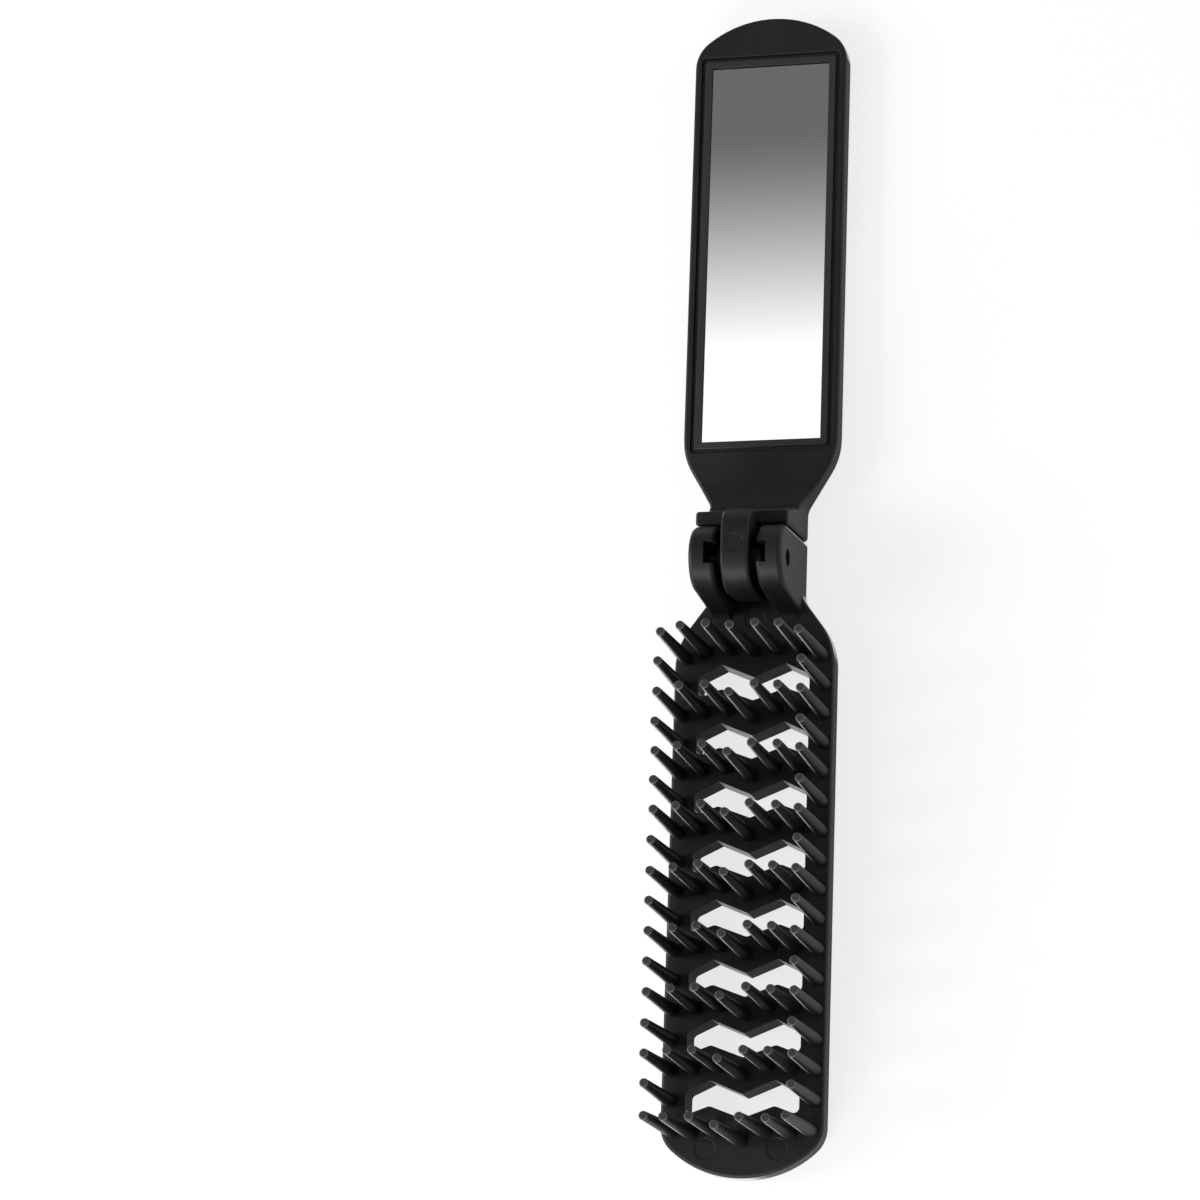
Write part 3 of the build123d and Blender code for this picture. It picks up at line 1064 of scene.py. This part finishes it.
@dataclass
class Studio:
    """Pale floor, soft lamps, surroundings and the camera."""

    floor_side: float = 8.0
    floor_gap: float = 0.05 * MM  # between the brush and the floor
    floor_white: float = 0.77  # share of the floor's own white as the camera sees it
    floor_gloss: float = 0.24  # the same, as glossy surfaces see it
    eye: tuple[float, float, float] = (157.3 * MM, -192.9 * MM, 703.6 * MM)
    turn: tuple[float, float, float] = (15.26, 14.252, 2.123)  # degrees about X, Y and Z
    lens: float = 131.315
    sensor: float = 36.0
    sight: tuple[float, float] = (0.05, 50.0)  # nearest and furthest that the camera sees
    fill: tuple[float, float] = (0.44, 0.5)  # overhead and at the horizon
    fill_rise: tuple[float, float] = (0.2, 0.8)  # upward parts between which it changes
    horizon: float = 0.22  # brightness of the horizon in shiny surfaces
    horizon_rise: tuple[float, float] = (0.1, 0.6)  # upward parts between which it fades
    panel: Panel = Panel()

    def floor(self) -> None:
        """Lay the floor."""
        half = self.floor_side / 2
        mesh = bpy.data.meshes.new("floor")
        corners = [(-half, -half), (half, -half), (half, half), (-half, half)]
        mesh.from_pydata([(x, y, -self.floor_gap) for x, y in corners], [], [(0, 1, 2, 3)])
        piece = bpy.data.objects.new("floor", mesh)
        bpy.context.scene.collection.objects.link(piece)
        material = bpy.data.materials.new("pale_floor")
        sheet = emptied(material)
        paper = sheet.node("ShaderNodeBsdfDiffuse", None, {"Color": grey(0.9)})
        glow = sheet.node("ShaderNodeEmission", None, {"Color": grey(1.0), "Strength": 1.0})
        rays = sheet.node("ShaderNodeLightPath").outputs
        seen = sheet.math("MAXIMUM", rays["Is Camera Ray"], rays["Is Transmission Ray"])
        glossy = Expr(sheet, rays["Is Glossy Ray"]) * self.floor_gloss
        share = sheet.math("MAXIMUM", seen * self.floor_white, glossy)
        layers = {0: share, 1: paper.outputs[0], 2: glow.outputs[0]}
        blend = sheet.node("ShaderNodeMixShader", None, layers)
        sheet.node("ShaderNodeOutputMaterial", None, {"Surface": blend.outputs[0]})
        mesh.materials.append(material)

    def surroundings(self) -> None:
        """Light the room: white to the camera, a panel to shiny surfaces and dimmer to the rest."""
        world = bpy.data.worlds.new("studio")
        bpy.context.scene.world = world
        sheet = emptied(world)
        way = sheet.node("ShaderNodeTexCoord").outputs["Generated"]
        split = sheet.node("ShaderNodeSeparateXYZ", None, {0: way})
        x, y, z = (Expr(sheet, output) for output in split.outputs)
        low_light = self.horizon * (1 - z.rise(*self.horizon_rise))
        shine = self.panel.level(sheet, x, y, z) + low_light
        overhead, low = self.fill
        dim = low + (overhead - low) * z.rise(*self.fill_rise)
        rays = sheet.node("ShaderNodeLightPath").outputs
        mirrored = sheet.math("MAXIMUM", rays["Is Glossy Ray"], rays["Is Transmission Ray"])
        level = (
            Expr(sheet, rays["Is Camera Ray"])
            + mirrored * shine
            + (1 - sheet.math("MAXIMUM", rays["Is Camera Ray"], mirrored)) * dim
        )
        sky = sheet.node("ShaderNodeBackground", None, {"Color": grey(1.0), "Strength": level})
        sheet.node("ShaderNodeOutputWorld", None, {"Surface": sky.outputs[0]})

    def camera(self) -> None:
        """Set the camera."""
        data = bpy.data.cameras.new("camera")
        data.lens = self.lens
        data.sensor_width = self.sensor
        data.clip_start, data.clip_end = self.sight
        holder = bpy.data.objects.new("camera", data)
        holder.location = self.eye
        holder.rotation_euler = Euler([math.radians(a) for a in self.turn], "XYZ")
        bpy.context.scene.collection.objects.link(holder)
        bpy.context.scene.camera = holder

    def build(self) -> None:
        """Build the studio."""
        bpy.context.scene.view_settings.view_transform = "Standard"
        self.camera()
        self.floor()
        self.surroundings()
        for lamp in LAMPS:
            lamp.build()


# ---------------------------------------------------------------- build


def main() -> None:
    """Build the brush and its studio."""
    logging.basicConfig(level=logging.INFO, format="%(name)s: %(message)s")
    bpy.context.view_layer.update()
    Studio().build()
    shell = SHELL_FINISH.build()
    BrushHalf(BristleBed(), shell, pin_edges=EdgeSoftening(width=0.05 * MM)).build()
    MirrorHalf(shell, bezel_edges=EdgeSoftening(width=0.13 * MM)).build()


if __name__ == "__main__":
    main()
